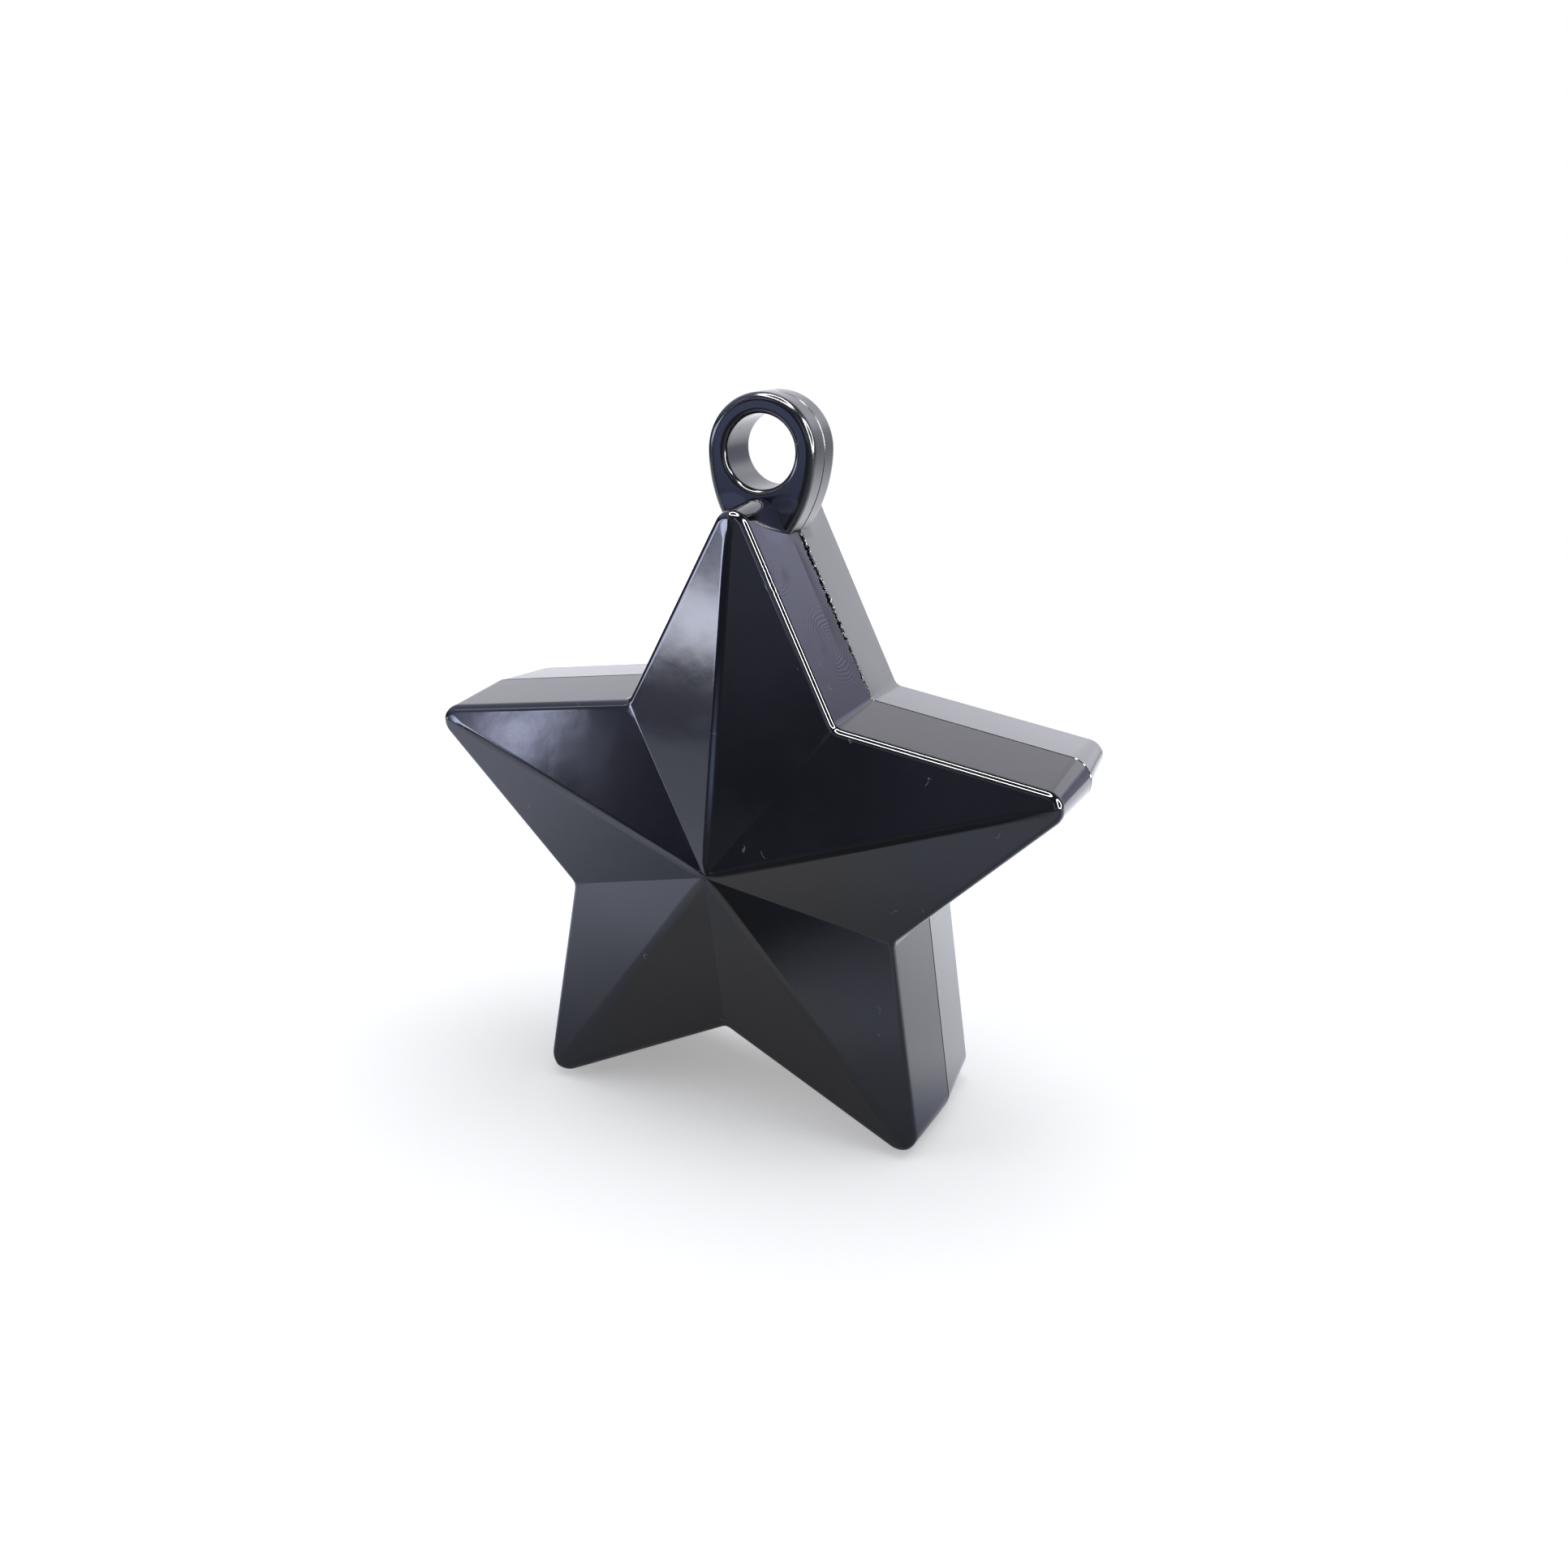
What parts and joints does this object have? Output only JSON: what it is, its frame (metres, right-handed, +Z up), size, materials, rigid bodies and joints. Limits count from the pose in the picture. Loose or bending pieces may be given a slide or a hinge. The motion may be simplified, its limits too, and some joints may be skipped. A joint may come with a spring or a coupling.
{
  "type": "balloon weight",
  "caption": "Star-shaped balloon weight: two drafted, faceted shell halves around cast ballast, with a hanging loop at the top tip for a ribbon.",
  "frame": {"origin": "middle of the base, on the floor below the star's centre, in the plane of the joint", "axes": "+X to the right seen from the front, +Y from the front to the rear across the joint, +Z up towards the loop"},
  "size_m": [0.095, 0.0408, 0.1044],
  "materials": {
    "shell": "gloss",
    "ballast": "matte",
    "cement": "gloss"
  },
  "bodies": {
    "root": {"front_shell": "shell", "rear_shell": "shell", "front_ballast": "ballast", "rear_ballast": "ballast", "seam_glue": "cement"}
  },
  "joints": []
}
